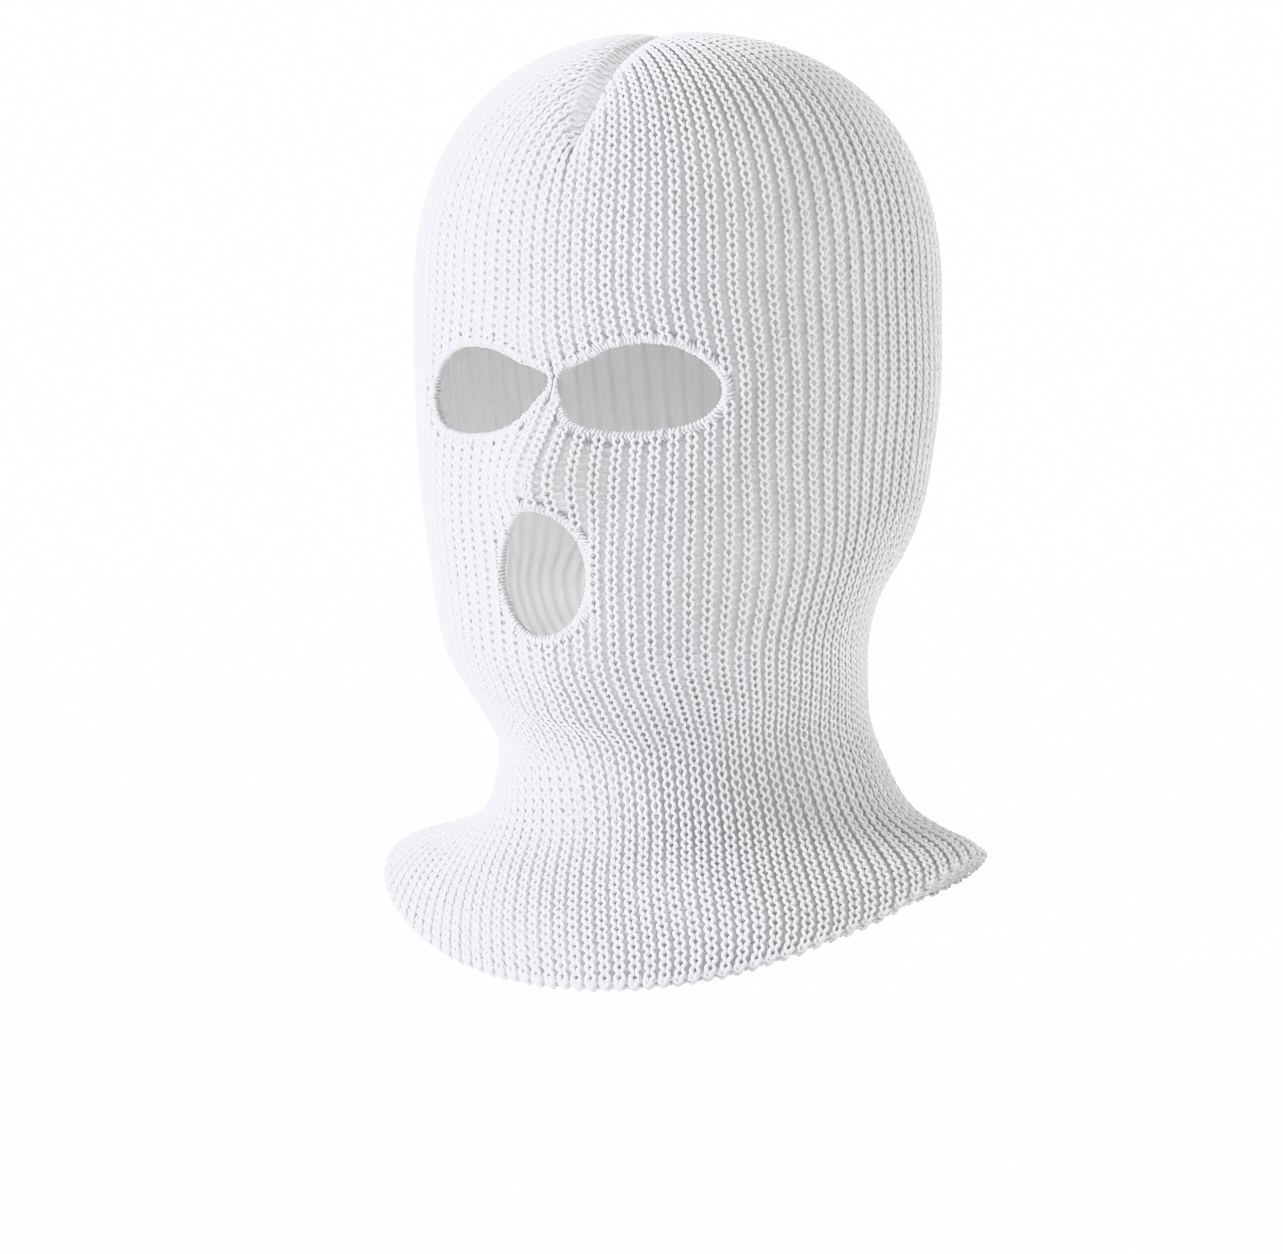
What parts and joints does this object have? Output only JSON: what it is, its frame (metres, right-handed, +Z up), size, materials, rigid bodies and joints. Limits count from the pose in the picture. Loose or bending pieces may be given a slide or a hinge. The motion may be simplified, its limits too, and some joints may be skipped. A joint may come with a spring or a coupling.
{
  "type": "balaclava",
  "caption": "Close-fitting rib-knit balaclava that covers the head, face and neck, with an opening for each eye, one for the mouth and a collar that spreads over the shoulders.",
  "frame": {"origin": "inside the crown, on the head's axis, where the top of the wearer's head touches the knit", "axes": "+Z up out of the crown; the face looks along -Y; +X is the wearer's left"},
  "size_m": [0.2036, 0.2334, 0.3181],
  "materials": {
    "rib_knit": "soft matt acrylic and wool yarn, 1x1 rib, white with a faint cool cast",
    "edge_trim": "the same white yarn, worked as a fine dense edge of cross stitches",
    "seam_yarn": "the same white yarn, linked and overcast seam allowance",
    "cast_on_edge": "the same white yarn, rounded cast-on courses"
  },
  "bodies": {
    "root": {"crown_left": "rib_knit", "crown_right": "rib_knit", "forehead": "rib_knit", "side_left": "rib_knit", "side_right": "rib_knit", "back_left": "rib_knit", "back_right": "rib_knit", "nose_panel": "rib_knit", "cheek_left": "rib_knit", "cheek_right": "rib_knit", "chin_panel": "rib_knit", "neck_front": "rib_knit", "neck_left": "rib_knit", "neck_right": "rib_knit", "collar_front": "rib_knit", "collar_left": "rib_knit", "collar_right": "rib_knit", "hem_welt": "cast_on_edge", "crown_seam": "seam_yarn", "back_seam": "seam_yarn", "eye_trim_left": "edge_trim", "eye_trim_right": "edge_trim", "mouth_trim": "edge_trim"}
  },
  "joints": []
}
